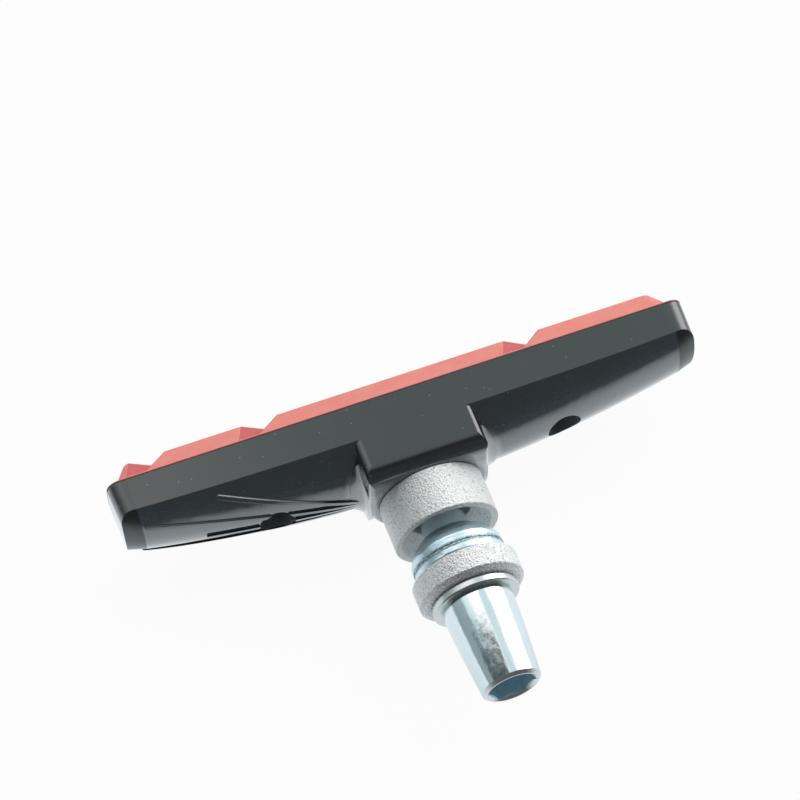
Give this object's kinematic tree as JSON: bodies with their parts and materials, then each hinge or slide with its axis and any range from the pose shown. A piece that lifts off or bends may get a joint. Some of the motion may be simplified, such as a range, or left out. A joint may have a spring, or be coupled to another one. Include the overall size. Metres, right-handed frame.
{
  "type": "bicycle rim brake pad",
  "caption": "Long two-layer rubber brake pad with a grooved friction face, a boss, a threaded post, spherical alignment washers and a bullet-nosed socket nut.",
  "frame": {"origin": "on the post axis, in the plane of the boss face that the inner cup washer rests on", "axes": "+X along the pad towards the plain half of its back, +Y out of the friction face (towards the rim), -Y along the post towards the nut, +Z towards the straight long side; the bowed long side faces -Z"},
  "size_m": [0.0702, 0.0389, 0.0144],
  "materials": {
    "red_rubber": "matt",
    "black_rubber": "satin",
    "plate_steel": "satin",
    "post_zinc": "bright plated",
    "grainy_zinc": "grainy plated",
    "dome_zinc": "satin plated",
    "washer_zinc": "satin plated",
    "nut_zinc": "bright plated"
  },
  "bodies": {
    "root": {"friction_layer": "red_rubber", "pad_body": "black_rubber", "backing_plate": "plate_steel", "threaded_post": "post_zinc", "inner_cup_washer": "grainy_zinc", "inner_dome_washer": "dome_zinc", "outer_dome_washer": "dome_zinc", "outer_cup_washer": "grainy_zinc", "flat_washer": "washer_zinc", "socket_nut": "nut_zinc"}
  },
  "joints": []
}
